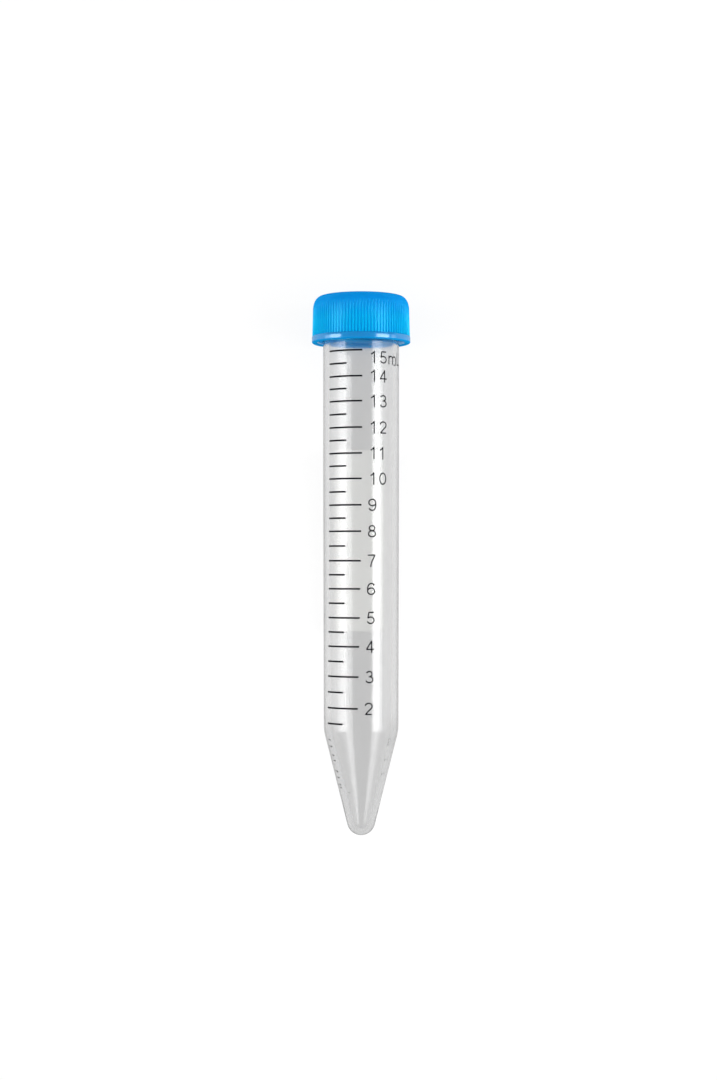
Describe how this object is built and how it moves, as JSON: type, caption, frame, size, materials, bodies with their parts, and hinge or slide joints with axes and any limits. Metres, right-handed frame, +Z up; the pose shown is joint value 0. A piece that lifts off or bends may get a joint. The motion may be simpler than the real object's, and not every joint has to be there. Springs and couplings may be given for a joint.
{
  "type": "15 ml conical tube",
  "caption": "Clear graduated conical-bottom lab tube with a ribbed blue screw cap, lying on its side; holds, spins and stores small liquid samples.",
  "frame": {"origin": "on the ground, under the middle of the lying tube's bounding box", "axes": "+Y runs along the tube from its tip towards its cap, +Z points up from the ground, out through the printed side, and +X points to the right of the print; the tube's own axis lies in the YZ plane and rises 1.791 degrees towards the cap"},
  "size_m": [0.022, 0.121, 0.0221],
  "materials": {
    "clear_polypropylene": "moulded, translucent, smooth",
    "blue_polyethylene": "moulded, satin",
    "black_ink": "printed",
    "white_ink": "printed, frosted writing patch"
  },
  "bodies": {
    "tube": {"tube": "clear_polypropylene"},
    "cap": {"cap": "blue_polyethylene"}
  },
  "joints": [
    {"name": "cap_lift", "type": "slide", "parent": "tube", "child": "cap", "axis": [0, 0.9995, 0.0312], "range_m": [0, 0.02]}
  ]
}
